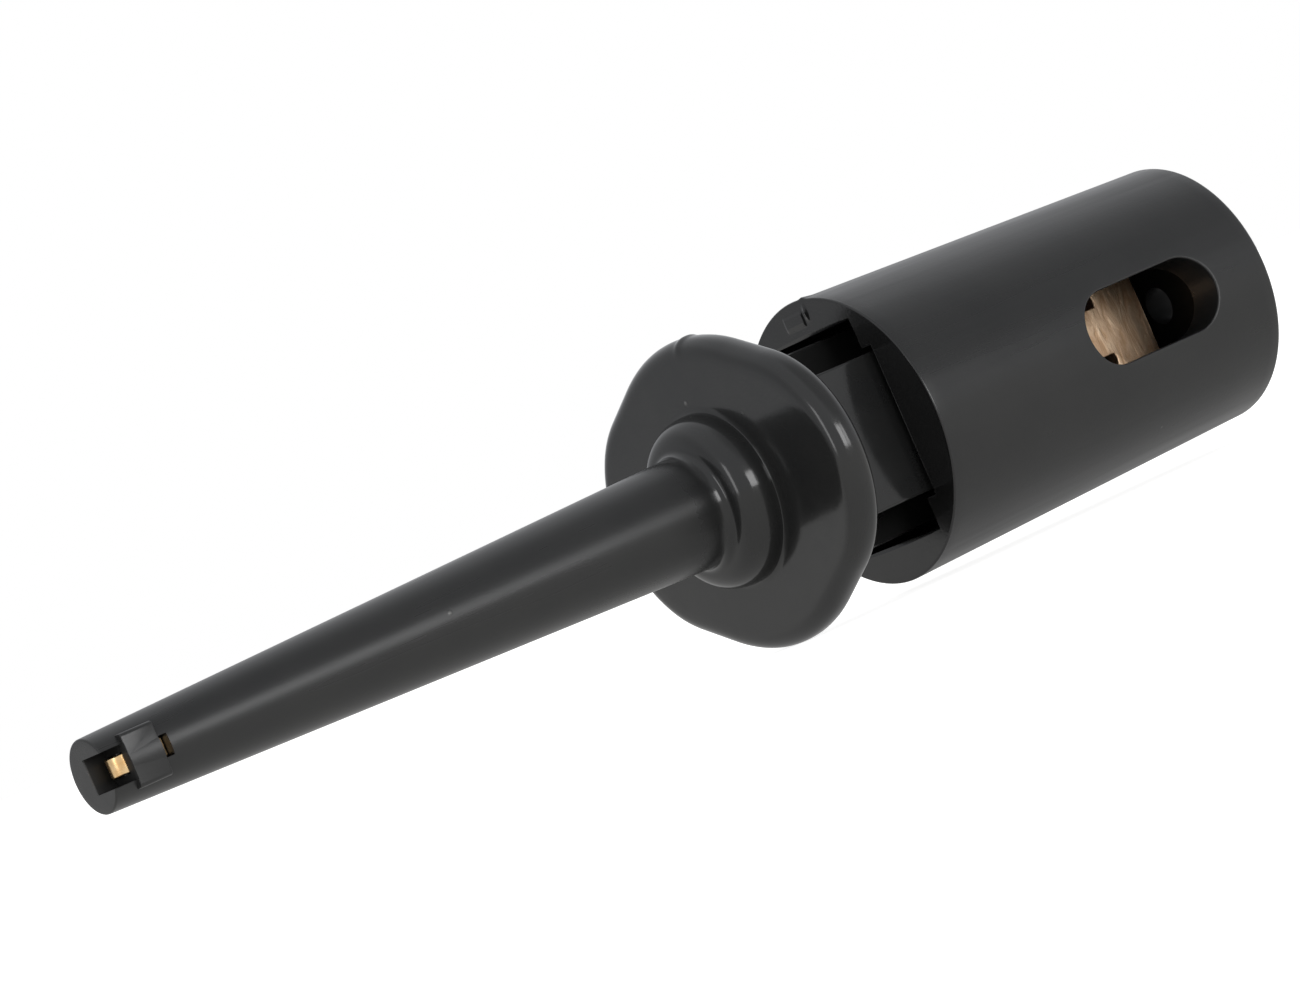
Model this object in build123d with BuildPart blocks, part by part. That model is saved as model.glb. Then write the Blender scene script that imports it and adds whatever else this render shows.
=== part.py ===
from build123d import *
import math
import os

# A subminiature test clip: a long tapered nose with a finger flange, a push barrel that
# slides towards the flange, and a hook that comes out of the tip when the barrel is pushed.
# X runs from the tip to the rear end, the window faces the front (-Y) and Z is up.
# Millimetres. Stations are distances from the face of the tip.

# Lengths along the clip, front to rear
nose_length = 21.5
boss_height = 1.15
flange_thickness = 1.1
plunger_gap = 3.95
barrel_length = 14.1

# Nose and boss
tip_diameter = 2.21
nose_root_diameter = 3.47
boss_diameter = 5.36
boss_rim = 0.2
tip_chamfer = 0.05
nose_root_fillet = 0.18

# Finger flange: a rhombus with rounded corners and a bull-nosed edge
flange_flat_distance = 9.9
flange_side_angle = 26.6
flange_end_radius = 3.86
flange_crown_radius = 6.1
flange_edge_radius = 0.5

# Hook: a flat strip bent back on itself at the tip
strip_width = 0.58
strip_thickness = 0.25
hook_mouth = 0.40
hook_setback = 0.42
hook_leg_length = 1.56
hook_clearance = 0.03

# Tip of the nose
slot_width = 1.05
tunnel_roof = 0.31
pad_width = 1.6
pad_edge_radius = 0.12
slit_length = 0.26
guide_length = 2.6
bore_diameter = 1.2

# Shank behind the flange, with the ribs that guide it in the barrel
shank_length = 7.55
shank_depth = 5.18
shank_height = 4.46
rib_thickness = 0.9
rib_span = 6.3
pocket_depth = 4.7

# Barrel
barrel_front_diameter = 9.06
barrel_rear_diameter = 8.3
barrel_wall = 0.62
rear_bore_diameter = 5.9
rear_bore_clearance = 0.35
front_wall = 1.0
end_wall = 1.15
barrel_front_chamfer = 0.05
barrel_rear_edge = 0.16
shank_clearance = 0.18
side_clearance = 0.24
notch_width = 4.7
rib_clearance = 0.22
window_length = 5.4
window_width = 2.36
window_to_rear = 2.2
lead_hole_diameter = 1.2

# Solder terminal, held on edge in two grooves of the barrel's rear bore
tab_thickness = 0.5
tab_length = 2.06
tab_width = 6.5
tab_to_rear = 1.99
neck_width = 1.9
relief_radius = 0.35
ear_width = 2.9
ear_length = 0.6
neck_behind_ears = 1.6
neck_before_ears = 1.3
crimp_diameter = 1.3
crimp_length = 1.9
crimp_grip = 1.6
tab_clearance = 0.03

# Compression spring round the stem of the hook; its wire is drawn with a few flat sides
spring_diameter = 3.0
spring_wire = 0.3
wire_sides = 6
open_turns = 7
coil_gap = 0.01
ground_depth = 0.08
spring_clearance = 0.15

# Stations and sizes that follow
flange_front = nose_length + boss_height
flange_rear = flange_front + flange_thickness
barrel_front = flange_rear + plunger_gap
barrel_rear = barrel_front + barrel_length
tip_x = -barrel_rear / 2

quarter_turn = 90
side_slope = math.radians(flange_side_angle)
flange_half_sides = flange_flat_distance / 2
flange_half_height = flange_crown_radius + (flange_half_sides - flange_crown_radius) / math.cos(side_slope)
axis_height = flange_half_height

bend_centre = hook_setback + strip_thickness + hook_mouth / 2
leg_inner = strip_thickness / 2 + hook_mouth
leg_outer = leg_inner + strip_thickness
leg_end = hook_setback + hook_leg_length
way_low = -strip_thickness / 2 - hook_clearance
way_high = leg_outer + hook_clearance
web_radius = hook_mouth / 2 - hook_clearance
slot_depth = bend_centre - web_radius
way_end = leg_end + hook_clearance
slit_front = way_end - slit_length
pad_top = way_high + tunnel_roof

shank_end = flange_rear + shank_length
pocket_bottom = shank_end - pocket_depth
pocket_diameter = spring_diameter + 2 * spring_clearance

tab_rear = barrel_rear - tab_to_rear
tab_front = tab_rear - tab_length
ear_front = tab_front - neck_behind_ears - ear_length
crimp_rear = ear_front - neck_before_ears
crimp_front = crimp_rear - crimp_length
stem_end = crimp_front + crimp_grip
rear_bore_front = shank_end + plunger_gap + rear_bore_clearance


def barrel_radius(station):
    """Outer radius of the tapered barrel at a station."""
    share = (station - barrel_front) / barrel_length
    return (barrel_front_diameter + (barrel_rear_diameter - barrel_front_diameter) * share) / 2


def across(station):
    """Plane square to the axis at a station: its x runs to the back, its y up."""
    return Plane(origin=(tip_x + station, 0, axis_height), x_dir=(0, 1, 0), z_dir=(1, 0, 0))


# Two planes along the axis with their origin at the tip: one upright, seen from the front,
# with y up, and one level, with y to the front
upright = Plane(origin=(tip_x, 0, axis_height), x_dir=(1, 0, 0), z_dir=(0, -1, 0))
level = Plane(origin=(tip_x, 0, axis_height), x_dir=(1, 0, 0), z_dir=(0, 0, -1))
clip_axis = Axis((tip_x, 0, axis_height), (1, 0, 0))

# Nose body
with BuildPart() as nose_body:
    # Flange, with sides tangent to its end and crown arcs
    flange_point = flange_half_sides / math.sin(side_slope)
    flange_crest = flange_half_sides / math.cos(side_slope)
    with BuildSketch(across(flange_front)) as flange_outline:
        with BuildLine():
            Polyline((flange_point, 0), (0, flange_crest), (-flange_point, 0), (0, -flange_crest), close=True)
        make_face()
        crown_and_end = flange_outline.vertices().group_by(SortBy.DISTANCE)
        fillet(crown_and_end[0], flange_crown_radius)
        fillet(flange_outline.vertices().group_by(SortBy.DISTANCE)[-1], flange_end_radius)
    extrude(amount=flange_thickness)
    rims = nose_body.edges().filter_by(Axis.X, reverse=True)
    fillet(rims, min(flange_edge_radius, 0.46 * flange_thickness))

    # Nose cone and domed boss, turned about the axis
    with BuildSketch(upright):
        with BuildLine():
            Polyline(
                (flange_front, boss_diameter / 2),
                (flange_front, 0),
                (0, 0),
                (0, tip_diameter / 2),
                (nose_length, nose_root_diameter / 2),
            )
            EllipticalCenterArc(
                (flange_front - boss_rim, nose_root_diameter / 2),
                boss_height - boss_rim,
                (boss_diameter - nose_root_diameter) / 2,
                start_angle=quarter_turn,
                arc_size=quarter_turn,
            )
            Line((flange_front - boss_rim, boss_diameter / 2), (flange_front, boss_diameter / 2))
        make_face()
    revolve(axis=clip_axis)
    rings = nose_body.edges().filter_by(GeomType.CIRCLE)
    chamfer(rings.sort_by(Axis.X)[0], tip_chamfer)
    root_x = tip_x + nose_length
    fillet(nose_body.edges().filter_by_position(Axis.X, root_x - 0.01, root_x + 0.01), nose_root_fillet)

    # Flat pad that roofs the way of the hook's return leg
    with BuildSketch(across(slot_depth)):
        with Locations((-pad_top / 2, 0)):
            RectangleRounded(pad_top, pad_width, pad_edge_radius)
    extrude(amount=slit_front - slot_depth)

    # Shank, with a thin rib above and below
    with BuildSketch(across(flange_rear)):
        Rectangle(shank_depth, shank_height)
        Rectangle(rib_thickness, rib_span)
    extrude(amount=shank_length)

    # Pocket for the spring, and the bore of the stem
    with BuildSketch(across(pocket_bottom)):
        Circle(pocket_diameter / 2)
    extrude(amount=pocket_depth, mode=Mode.SUBTRACT)
    with BuildSketch(across(guide_length)):
        Circle(bore_diameter / 2)
    extrude(amount=pocket_bottom - guide_length, mode=Mode.SUBTRACT)

    # Ways of the stem and the return leg, either side of the web that the bend seats on
    with BuildSketch(level):
        with Locations((0, way_low)):
            Rectangle(guide_length, -2 * way_low, align=(Align.MIN, Align.MIN))
            Rectangle(bend_centre, way_high - way_low, align=(Align.MIN, Align.MIN))
        with Locations((bend_centre, leg_inner - hook_clearance)):
            leg_way = strip_thickness + 2 * hook_clearance
            Rectangle(way_end - bend_centre, leg_way, align=(Align.MIN, Align.MIN))
        with Locations((bend_centre, (leg_outer - strip_thickness / 2) / 2)):
            Circle(web_radius, mode=Mode.SUBTRACT)
        with Locations((slit_front, leg_inner)):
            Rectangle(slit_length, boss_diameter, align=(Align.MIN, Align.MIN))
    extrude(amount=strip_width / 2 + hook_clearance, both=True, mode=Mode.SUBTRACT)

    # Slot across the face of the tip, open towards the front
    with BuildSketch(level):
        with Locations((0, way_low)):
            Rectangle(slot_depth, boss_diameter, align=(Align.MIN, Align.MIN))
    extrude(amount=slot_width / 2, both=True, mode=Mode.SUBTRACT)

# Barrel
with BuildPart() as barrel:
    with BuildSketch(upright):
        with BuildLine():
            Polyline(
                (barrel_front, 0),
                (barrel_front, barrel_front_diameter / 2),
                (barrel_rear, barrel_rear_diameter / 2),
                (barrel_rear, 0),
                close=True,
            )
        make_face()
    revolve(axis=clip_axis)
    end_rings = barrel.edges().filter_by(GeomType.CIRCLE).sort_by(Axis.X)
    chamfer(end_rings[0], barrel_front_chamfer)
    fillet(barrel.edges().filter_by(GeomType.CIRCLE).sort_by(Axis.X)[-1], barrel_rear_edge)

    # Cavity: a tapered front bore that the shank runs in, and a narrower rear bore
    cavity_front = barrel_front + front_wall
    cavity_rear = barrel_rear - end_wall
    with BuildSketch(upright):
        with BuildLine():
            Polyline(
                (cavity_front, 0),
                (cavity_front, barrel_radius(cavity_front) - barrel_wall),
                (rear_bore_front, barrel_radius(rear_bore_front) - barrel_wall),
                (rear_bore_front, rear_bore_diameter / 2),
                (cavity_rear, rear_bore_diameter / 2),
                (cavity_rear, 0),
                close=True,
            )
        make_face()
    revolve(axis=clip_axis, mode=Mode.SUBTRACT)

    # Cross-shaped opening that leaves two D-shaped lips
    with BuildSketch(across(barrel_front)):
        Rectangle(shank_depth + 2 * side_clearance, shank_height + 2 * shank_clearance)
        Rectangle(notch_width, rib_span + 2 * rib_clearance)
    extrude(amount=front_wall, mode=Mode.SUBTRACT)

    # Grooves above and below that hold the terminal on edge
    with BuildSketch(across(rear_bore_front)):
        Rectangle(tab_thickness + 2 * tab_clearance, tab_width + 2 * tab_clearance)
    extrude(amount=tab_rear + tab_clearance - rear_bore_front, mode=Mode.SUBTRACT)

    # Solder window in the front, and the lead hole in the end wall
    with BuildSketch(upright):
        with Locations((barrel_rear - window_to_rear - window_length / 2, 0)):
            SlotOverall(window_length, window_width)
    extrude(amount=barrel_front_diameter, mode=Mode.SUBTRACT)
    with BuildSketch(across(cavity_rear)):
        Circle(lead_hole_diameter / 2)
    extrude(amount=end_wall, mode=Mode.SUBTRACT)

# Hook: straight stem, round bend and return leg
with BuildPart() as hook:
    with BuildSketch(level):
        half = strip_thickness / 2
        bend_middle = (leg_outer - half) / 2
        with BuildLine():
            Line((stem_end, -half), (bend_centre, -half))
            ThreePointArc((bend_centre, -half), (hook_setback, bend_middle), (bend_centre, leg_outer))
            Polyline((bend_centre, leg_outer), (leg_end, leg_outer), (leg_end, leg_inner), (bend_centre, leg_inner))
            inner_front = hook_setback + strip_thickness
            ThreePointArc((bend_centre, leg_inner), (inner_front, bend_middle), (bend_centre, half))
            Polyline((bend_centre, half), (stem_end, half), (stem_end, -half))
        make_face()
    extrude(amount=strip_width / 2, both=True)

# Solder terminal: tab, neck and ears stamped from sheet, with a crimp on the stem
with BuildPart() as solder_terminal:
    with BuildSketch(upright):
        with Locations((tab_front, 0)):
            Rectangle(tab_length, tab_width, align=(Align.MIN, Align.CENTER))
        with Locations((tab_front, neck_width / 2), (tab_front, -neck_width / 2)):
            Circle(relief_radius, mode=Mode.SUBTRACT)
        with Locations((crimp_rear - strip_thickness, 0)):
            neck_length = tab_front + relief_radius - crimp_rear + strip_thickness
            Rectangle(neck_length, neck_width - relief_radius, align=(Align.MIN, Align.CENTER))
        with Locations((ear_front, 0)):
            Rectangle(ear_length, ear_width, align=(Align.MIN, Align.CENTER))
    extrude(amount=tab_thickness / 2, both=True)
    with BuildSketch(across(crimp_front)):
        Circle(crimp_diameter / 2)
    extrude(amount=crimp_length)
    with BuildSketch(across(crimp_front)):
        Rectangle(strip_thickness, strip_width)
    extrude(amount=crimp_grip, mode=Mode.SUBTRACT)

# Spring: open coils between two closed end coils, ground flat at both ends
closed_pitch = spring_wire + coil_gap
first_coil = pocket_bottom + ground_depth
last_coil = ear_front - ground_depth - closed_pitch
open_pitch = (last_coil - first_coil - closed_pitch) / open_turns
with BuildPart() as spring:
    for start, pitch, turns in (
        (first_coil, closed_pitch, 1),
        (first_coil + closed_pitch, open_pitch, open_turns),
        (last_coil, closed_pitch, 1),
    ):
        with BuildLine():
            coil = Helix(
                pitch=pitch,
                height=pitch * turns,
                radius=(spring_diameter - spring_wire) / 2,
                center=(tip_x + start, 0, axis_height),
                direction=(1, 0, 0),
            )
        with BuildSketch(Plane(origin=coil @ 0, z_dir=coil % 0)):
            RegularPolygon(spring_wire / 2, wire_sides, rotation=180 / wire_sides)
        sweep(path=coil, is_frenet=True)
    split(bisect_by=across(pocket_bottom), keep=Keep.TOP)
    split(bisect_by=across(ear_front), keep=Keep.BOTTOM)

nose_body.part.label = "nose_body"
barrel.part.label = "barrel"
hook.part.label = "hook"
solder_terminal.part.label = "solder_terminal"
spring.part.label = "spring"

os.makedirs("parts", exist_ok=True)
export_step(nose_body.part, "parts/nose_body.step")
export_step(barrel.part, "parts/barrel.step")
export_step(hook.part, "parts/hook.step")
export_step(solder_terminal.part, "parts/solder_terminal.step")
export_step(spring.part, "parts/spring.step")
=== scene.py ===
import math
import bmesh
import bpy
import numpy as np
from mathutils import Matrix, Vector


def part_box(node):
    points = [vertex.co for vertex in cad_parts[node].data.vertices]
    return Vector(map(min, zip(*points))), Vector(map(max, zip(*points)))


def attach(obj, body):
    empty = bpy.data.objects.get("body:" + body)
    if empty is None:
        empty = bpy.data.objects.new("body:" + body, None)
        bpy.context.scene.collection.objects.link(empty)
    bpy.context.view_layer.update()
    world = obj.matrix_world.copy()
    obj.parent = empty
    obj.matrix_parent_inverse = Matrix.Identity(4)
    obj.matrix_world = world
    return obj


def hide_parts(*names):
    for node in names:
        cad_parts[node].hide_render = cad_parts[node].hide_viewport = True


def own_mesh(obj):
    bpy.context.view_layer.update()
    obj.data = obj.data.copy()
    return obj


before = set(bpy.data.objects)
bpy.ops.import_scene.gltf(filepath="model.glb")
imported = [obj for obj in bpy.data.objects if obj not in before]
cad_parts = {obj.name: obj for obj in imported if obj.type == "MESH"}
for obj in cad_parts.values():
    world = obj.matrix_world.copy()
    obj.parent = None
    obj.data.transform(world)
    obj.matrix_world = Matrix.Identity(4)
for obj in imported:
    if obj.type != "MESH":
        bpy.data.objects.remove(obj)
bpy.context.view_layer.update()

# Nose body
# One injection moulding in glossy black plastic: the tapered nose with the hook's slot in its tip, the
# domed boss, the finger flange and the ribbed shank on which the barrel slides.
# Sizes are in millimetres, and stations are distances from the face of the tip towards the rear.
nose_low, nose_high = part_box("nose_body")
millimetre = 0.001
tip_x = nose_low.x
axis_z = (nose_low.z + nose_high.z) / 2

nose_length = 21.5
tip_radius = 1.105
tip_edge = 0.06
root_radius = 1.735
root_fillet = 0.26
boss_radius = 2.68
boss_height = 1.15
boss_fullness = 2.6
flange_thickness = 1.1
flange_half_sides = 4.95
flange_slope = math.radians(26.6)
flange_end_radius = 3.86
flange_crown_radius = 6.1
flange_edge = 0.5
shank_length = 7.55
shank_half_depth = 2.59
shank_half_height = 2.23
shank_corner = 0.07
shank_edge = 0.1
rib_half_thickness = 0.45
rib_half_span = 3.15
pocket_radius = 1.65
pocket_depth = 4.7
stem_bore_radius = 0.6
guide_length = 2.6

flange_front = nose_length + boss_height
flange_rear = flange_front + flange_thickness
shank_end = flange_rear + shank_length
pocket_bottom = shank_end - pocket_depth


def in_frame(points):
    """Points given as (station, y, height over the axis) in millimetres, put in the row frame in metres."""
    return np.asarray(points, float) * millimetre + (tip_x, 0.0, axis_z)


def rings(stations, reaches):
    """Rings about the axis: station and distance from the axis for each ring and each angle."""
    return np.stack(np.broadcast_arrays(stations, reaches, nose_angles[None, :])[:2], -1)


def column(values):
    """Values one under the other, so that each belongs to one ring."""
    return np.reshape(values, (-1, 1))


def between(first, last, steps):
    """Rings evenly spaced from one ring to another, without the first of them."""
    share = np.arange(1, steps + 1)[:, None, None] / steps
    return first + (last - first) * share


def turned(skin, angles):
    """Rings of (station, reach) as points: y is the reach times the cosine of the angle, z times its sine."""
    station, reach = skin[..., 0], skin[..., 1]
    return np.stack([station, reach * np.cos(angles), reach * np.sin(angles)], -1)


def net(rows, columns, round_rows=False, round_columns=True):
    """Four-sided faces of a net of points numbered row by row, which closes on itself where it is round."""
    row = np.arange(rows if round_rows else rows - 1)[:, None]
    col = np.arange(columns if round_columns else columns - 1)[None, :]
    below, beside = (row + 1) % rows, (col + 1) % columns
    corners = [row * columns + col, row * columns + beside, below * columns + beside, below * columns + col]
    return np.stack(np.broadcast_arrays(*corners), -1).reshape(-1, 4)


sharp_crease = 34


def closed_piece(name, parts, crease=sharp_crease):
    """One object from parts, each its points in the row frame and its faces. Points that meet are merged,
    faces turned outwards, and edges sharper than the crease angle in degrees stay sharp."""
    points = [np.reshape(part[0], (-1, 3)) for part in parts]
    starts = np.cumsum([0] + [len(group) for group in points])
    faces = []
    for start, part in zip(starts, parts):
        faces += [[start + corner for corner in face] for face in np.asarray(part[1], dtype=object).tolist()]
    mesh = bpy.data.meshes.new(name)
    mesh.from_pydata(np.concatenate(points), [], faces)
    draft = bmesh.new()
    draft.from_mesh(mesh)
    bmesh.ops.remove_doubles(draft, verts=draft.verts, dist=2e-7)
    bmesh.ops.recalc_face_normals(draft, faces=draft.faces)
    draft.to_mesh(mesh)
    draft.free()
    mesh.shade_smooth()
    mesh.set_sharp_from_angle(angle=math.radians(crease))
    piece = bpy.data.objects.new(name, mesh)
    bpy.context.scene.collection.objects.link(piece)
    return piece


def box_reach(angles, half_y, half_z, corner):
    """Distance from the axis to a box's outline along each angle: the nearer flat side, or at a rounded
    corner the point where the ray leaves the corner's circle."""
    y, z = np.abs(np.cos(angles)), np.abs(np.sin(angles))
    flat = np.minimum(half_y / np.maximum(y, 1e-9), half_z / np.maximum(z, 1e-9))
    centre_y, centre_z = half_y - corner, half_z - corner
    along = y * centre_y + z * centre_z
    left = np.maximum(along**2 - centre_y**2 - centre_z**2 + corner**2, 0)
    at_corner = (flat * y > centre_y) & (flat * z > centre_z)
    return np.where(at_corner, along + np.sqrt(left), flat)


def flange_reach(angles, inset):
    """Distance from the axis to the flange's rounded rhombus, drawn in by inset: the end's arc, then the
    straight side that touches it, then the crown's arc."""
    y, z = np.abs(np.cos(angles)), np.abs(np.sin(angles))
    end_centre = (flange_half_sides - flange_end_radius) / math.sin(flange_slope)
    crown_centre = (flange_half_sides - flange_crown_radius) / math.cos(flange_slope)
    end_radius, crown_radius = flange_end_radius - inset, flange_crown_radius - inset
    end = end_centre * y + np.sqrt(np.maximum(end_radius**2 - (end_centre * z) ** 2, 0))
    side = (flange_half_sides - inset) / (math.sin(flange_slope) * y + math.cos(flange_slope) * z)
    crown = crown_centre * z + np.sqrt(np.maximum(crown_radius**2 - (crown_centre * y) ** 2, 0))
    slope_y, slope_z = math.sin(flange_slope), math.cos(flange_slope)
    end_stops = np.arctan2(end_radius * slope_z, end_centre + end_radius * slope_y)
    crown_starts = np.arctan2(crown_centre + crown_radius * slope_z, crown_radius * slope_y)
    turn = np.arctan2(z, y)
    return np.where(turn < end_stops, end, np.where(turn < crown_starts, side, crown))


def angles_round(corners, spread, count, even):
    """Angles from even steps, with a close group round each corner angle and its mirror images."""
    close = np.linspace(-spread, spread, count)
    first = np.asarray(corners)[:, None] + close[None, :]
    mirrored = np.concatenate([first, math.pi - first, math.pi + first, -first]).ravel()
    every = np.concatenate([2 * math.pi * np.arange(even) / even, mirrored % (2 * math.pi)])
    every = np.unique(np.round(every, 6))
    return every[np.diff(every, append=every[0] + 2 * math.pi) > 1e-4]


# The rings have points evenly round the axis, and closer together round each corner of the shank
shank_corners = [
    math.atan2(shank_half_height, shank_half_depth),
    math.atan2(shank_half_height, rib_half_thickness),
    math.atan2(rib_half_span, rib_half_thickness),
]
nose_angles = angles_round(shank_corners, math.radians(1.8), 7, 256)

quarter = np.linspace(0, math.pi / 2, 9)[1:]
cone_slope = (root_radius - tip_radius) / nose_length
boss_foot = 0.03
boss_foot_height = 0.02
fillet_stop = math.radians(80)
fillet_turn = np.linspace(0, fillet_stop, 9)[1:]
dome_depth = boss_radius - root_radius
dome_power = 2 / boss_fullness
dome_start = math.asin((root_fillet * (1 - math.cos(fillet_stop)) / dome_depth) ** (1 / dome_power))
dome_front = flange_front - boss_height * math.cos(dome_start) ** dome_power
fillet_x = dome_front - root_fillet * math.sin(fillet_stop)
dome_turn = np.linspace(dome_start, math.pi / 2, 27)[1:-1]
cone_x = np.linspace(tip_edge, fillet_x, 90)

shank = np.maximum(
    box_reach(nose_angles, shank_half_depth, shank_half_height, shank_corner),
    box_reach(nose_angles, rib_half_thickness, rib_half_span, shank_corner),
)

# A small moulding mark stands on the flange's edge beside its upper crown
mark_angle = math.radians(99.5)
mark_height = 0.055
mark_spread = 0.035
from_mark = (nose_angles - mark_angle + math.pi) % (2 * math.pi) - math.pi
mark = mark_height * np.exp(-(from_mark / mark_spread) ** 2)

front_face = rings(flange_front, flange_reach(nose_angles, flange_edge))
rear_face = rings(flange_rear, flange_reach(nose_angles, flange_edge))
front_round = rings(
    flange_front + flange_edge * (1 - np.cos(column(quarter))),
    flange_reach(nose_angles[None, :], flange_edge * (1 - np.sin(column(quarter)))) + mark,
)
rear_round = rings(
    flange_rear - flange_edge * (1 - np.cos(column(quarter[::-1]))),
    flange_reach(nose_angles[None, :], flange_edge * (1 - np.sin(column(quarter[::-1])))) + mark,
)
nose_skin = np.concatenate([
    rings(0.0, 0.0),
    rings(0.0, column(np.linspace(0.2, tip_radius - tip_edge, 6))),
    rings(tip_edge * (1 - np.cos(column(quarter))), tip_radius - tip_edge * (1 - np.sin(column(quarter)))),
    rings(column(cone_x[1:]), tip_radius + cone_slope * column(cone_x[1:])),
    rings(fillet_x + root_fillet * np.sin(column(fillet_turn)),
          root_radius + root_fillet * (1 - np.cos(column(fillet_turn)))),
    rings(flange_front - boss_height * np.cos(column(dome_turn)) ** dome_power,
          root_radius + dome_depth * np.sin(column(dome_turn)) ** dome_power),
    rings(flange_front - boss_foot_height, boss_radius),
    rings(flange_front, boss_radius + boss_foot),
    between(rings(flange_front, boss_radius + boss_foot), front_face, 10),
    front_round,
    rear_round,
    rear_face,
    between(rear_face, rings(flange_rear, shank), 6),
    between(rings(flange_rear, shank), rings(shank_end - shank_edge, shank), 16),
    rings(shank_end, shank - shank_edge),
    between(rings(shank_end, shank - shank_edge), rings(shank_end, pocket_radius), 3),
    between(rings(shank_end, pocket_radius), rings(pocket_bottom, pocket_radius), 4),
    rings(pocket_bottom, stem_bore_radius),
    between(rings(pocket_bottom, stem_bore_radius), rings(guide_length, stem_bore_radius), 6),
    rings(guide_length, 0.0),
])
nose_points = in_frame(turned(nose_skin, nose_angles))
nose_moulding = closed_piece("nose_moulding", [(nose_points, net(*nose_points.shape[:2]))])

# Hook's seat in the tip: a flat pad over the return leg, a slot across the face, and the ways of the strip
strip_half_width = 0.29
strip_thickness = 0.25
hook_mouth = 0.40
hook_setback = 0.42
hook_leg_length = 1.56
hook_clearance = 0.03
slot_half_width = 0.525
pad_half_width = 0.8
pad_corner = 0.12
pad_edge = 0.025
tunnel_roof = 0.31
slit_length = 0.26

bend_centre = hook_setback + strip_thickness + hook_mouth / 2
leg_inner = strip_thickness / 2 + hook_mouth
leg_outer = leg_inner + strip_thickness
leg_end = hook_setback + hook_leg_length
way_low = -strip_thickness / 2 - hook_clearance
way_high = leg_outer + hook_clearance
way_end = leg_end + hook_clearance
way_half_width = strip_half_width + hook_clearance
web_radius = hook_mouth / 2 - hook_clearance
slot_depth = bend_centre - web_radius
slit_front = way_end - slit_length
pad_top = way_high + tunnel_roof


def arc(centre, radius, start, stop, count):
    """Points of a circular arc in a plane, between two angles in degrees."""
    turn = np.radians(np.linspace(start, stop, count))
    return np.stack([centre[0] + radius * np.cos(turn), centre[1] + radius * np.sin(turn)], -1)


def plate(outline, low, high, edge=0.0, steps=3):
    """A flat outline carried from low to high, with its rims rounded: each ring is the outline drawn in along
    its corner bisectors by edge times one less the sine of the turn. Returns points (u, v, w) and faces."""
    side = np.roll(outline, -1, 0) - outline
    side /= np.linalg.norm(side, axis=1)[:, None]
    area = np.sum(outline[:, 0] * np.roll(outline[:, 1], -1) - outline[:, 1] * np.roll(outline[:, 0], -1))
    inward = np.stack([-side[:, 1], side[:, 0]], -1) * np.sign(area)
    before = np.roll(inward, 1, 0)
    bisector = (inward + before) / (1 + np.sum(inward * before, 1))[:, None]
    turn = np.linspace(0, math.pi / 2, steps + 1) if edge else np.array([math.pi / 2])
    inset = edge * (1 - np.sin(turn))
    rise = edge * (1 - np.cos(turn))
    levels = np.concatenate([low + rise, high - rise[::-1]])
    insets = np.concatenate([inset, inset[::-1]])
    flat = outline[None] + bisector[None] * insets[:, None, None]
    points = np.concatenate([flat, np.broadcast_to(levels[:, None, None], flat.shape[:2] + (1,))], -1)
    count = len(outline)
    caps = [list(range(count)), list(range((len(levels) - 1) * count, len(levels) * count))]
    return points, net(len(levels), count).tolist() + caps


def side_on(points):
    """(station, distance to the front, height) as (station, y, height)."""
    return points * (1, -1, 1)


def lengthwise(points):
    """(distance to the front, height, station) as (station, y, height)."""
    return np.stack([points[..., 2], -points[..., 0], points[..., 1]], -1)


def combine(piece, operation, points, faces):
    """Cuts a solid out of the piece, or joins it to it, and keeps the result as the piece's own mesh."""
    tool = closed_piece("tool", [(in_frame(points), faces)])
    change = piece.modifiers.new("change", "BOOLEAN")
    change.operation = operation
    change.object = tool
    change.solver = "EXACT"
    graph = bpy.context.evaluated_depsgraph_get()
    changed = bpy.data.meshes.new_from_object(piece.evaluated_get(graph))
    piece.modifiers.clear()
    piece.data = changed
    bpy.data.objects.remove(tool)


def rounded_box(low, high, half_width, corner, steps=6):
    """Outline of a rectangle with rounded corners: low to high one way, half_width each side the other."""
    near, far, wide = low + corner, high - corner, half_width - corner
    return np.concatenate([
        arc((far, wide), corner, 0, 90, steps),
        arc((near, wide), corner, 90, 180, steps),
        arc((near, -wide), corner, 180, 270, steps),
        arc((far, -wide), corner, 270, 360, steps),
    ])


outside = boss_radius
before_face = -1
past_guide = guide_length + 0.1
pad_outline = rounded_box(0.0, pad_top, pad_half_width, pad_corner)
pad, pad_faces = plate(pad_outline, slot_depth, slit_front, pad_edge)
combine(nose_moulding, "UNION", lengthwise(pad), pad_faces)
slot_outline = np.array([
    (before_face, way_low), (slot_depth, way_low), (slot_depth, outside), (before_face, outside),
])
slot_cut, slot_faces = plate(slot_outline, -slot_half_width, slot_half_width)
combine(nose_moulding, "DIFFERENCE", side_on(slot_cut), slot_faces)
way_outline = np.concatenate([
    [(before_face, way_low), (past_guide, way_low), (past_guide, -way_low)],
    arc((bend_centre, (leg_inner + strip_thickness / 2) / 2), web_radius, -90, -270, 13),
    [(way_end, leg_inner - hook_clearance), (way_end, outside), (slit_front, outside)],
    [(slit_front, way_high), (before_face, way_high)],
])
way_cut, way_faces = plate(way_outline, -way_half_width, way_half_width)
combine(nose_moulding, "DIFFERENCE", side_on(way_cut), way_faces)
nose_moulding.data.shade_smooth()
nose_moulding.data.set_sharp_from_angle(angle=math.radians(sharp_crease))


def add(tree, kind, inputs=None, **settings):
    """A shader node with its settings, and its inputs set to a value or joined to another node's output."""
    node = tree.nodes.new(kind)
    for name, value in settings.items():
        setattr(node, name, value)
    for name, value in (inputs or {}).items():
        if isinstance(value, bpy.types.NodeSocket):
            tree.links.new(value, node.inputs[name])
        else:
            node.inputs[name].default_value = value
    return node


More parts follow.
